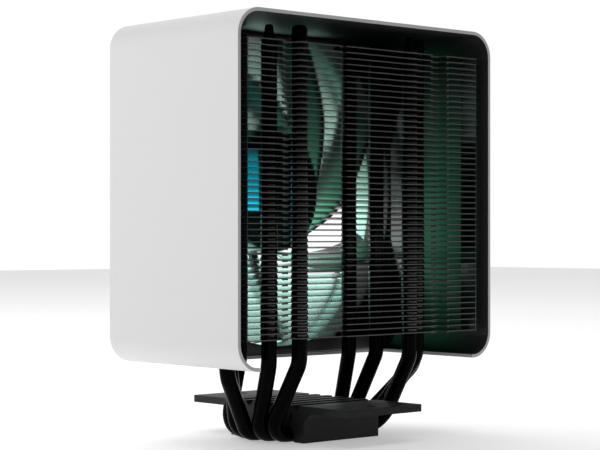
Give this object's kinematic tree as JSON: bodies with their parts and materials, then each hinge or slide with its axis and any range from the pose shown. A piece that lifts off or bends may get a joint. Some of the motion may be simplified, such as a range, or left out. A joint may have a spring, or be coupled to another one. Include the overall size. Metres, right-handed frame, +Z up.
{
  "type": "cpu tower cooler",
  "caption": "Tower air cooler: black fin stack on U-shaped heat pipes over a small base, inside a white square shroud with an axial fan behind the fins.",
  "frame": {"origin": "centre of the base's processor contact face", "axes": "+Z up along the tower, +X across the cooler along the pipes' run in the base, +Y from the fin stack towards the fan"},
  "size_m": [0.132, 0.089, 0.159],
  "materials": {
    "base_finish": "satin dark grey nickel or anodised finish",
    "pipe_finish": "glossy black plating on copper tube",
    "fin_finish": "black coated sheet, bare grey at the cut edges",
    "shroud_paint": "matte white powder coat, fine texture",
    "fan_plastic": "black moulded plastic, fine satin texture",
    "blade_plastic": "dark smoke plastic, satin",
    "diffuser": "milky translucent plastic, lit cyan to green",
    "circuit_board": "dark green solder mask",
    "screw_steel": "zinc plated",
    "pad_rubber": "soft black rubber",
    "bearing_brass": "oiled sintered sleeve",
    "motor_steel": "pressed steel",
    "coil_copper": "enamelled copper wire",
    "magnet_ferrite": "grey bonded ferrite",
    "clip_plastic": "natural nylon",
    "cap_metal": "plain black disc, no marking"
  },
  "bodies": {
    "heatsink": {"base_block": "base_finish", "heat_pipe_1": "pipe_finish", "heat_pipe_2": "pipe_finish", "heat_pipe_3": "pipe_finish", "heat_pipe_4": "pipe_finish", "heat_pipe_5": "pipe_finish", "fin_pack_1": "fin_finish", "fin_pack_2": "fin_finish", "fin_pack_3": "fin_finish", "fin_pack_4": "fin_finish", "fin_pack_5": "fin_finish"},
    "shroud": {"shroud_shell": "shroud_paint", "fan_frame": "fan_plastic", "light_ring": "diffuser", "led_board": "circuit_board", "fan_screw_1": "screw_steel", "fan_screw_2": "screw_steel", "fan_screw_3": "screw_steel", "fan_screw_4": "screw_steel", "corner_pad_1": "pad_rubber", "corner_pad_2": "pad_rubber", "corner_pad_3": "pad_rubber", "corner_pad_4": "pad_rubber", "stator_core": "motor_steel", "stator_coil_1": "coil_copper", "stator_coil_2": "coil_copper", "stator_coil_3": "coil_copper", "stator_coil_4": "coil_copper", "motor_board": "circuit_board", "bearing_sleeve": "bearing_brass"},
    "fan_rotor": {"impeller": "blade_plastic", "rotor_yoke": "motor_steel", "magnet_ring": "magnet_ferrite", "shaft": "motor_steel", "lock_clip": "clip_plastic", "hub_cap": "cap_metal"}
  },
  "joints": [
    {"name": "shroud_slide", "type": "slide", "parent": "heatsink", "child": "shroud", "axis": [0, 1, 0], "range_m": [0, 0.06]},
    {"name": "fan_spin", "type": "hinge", "parent": "shroud", "child": "fan_rotor", "pos_m": [0, 0.024, 0.09435], "axis": [0, 1, 0], "continuous": true}
  ]
}
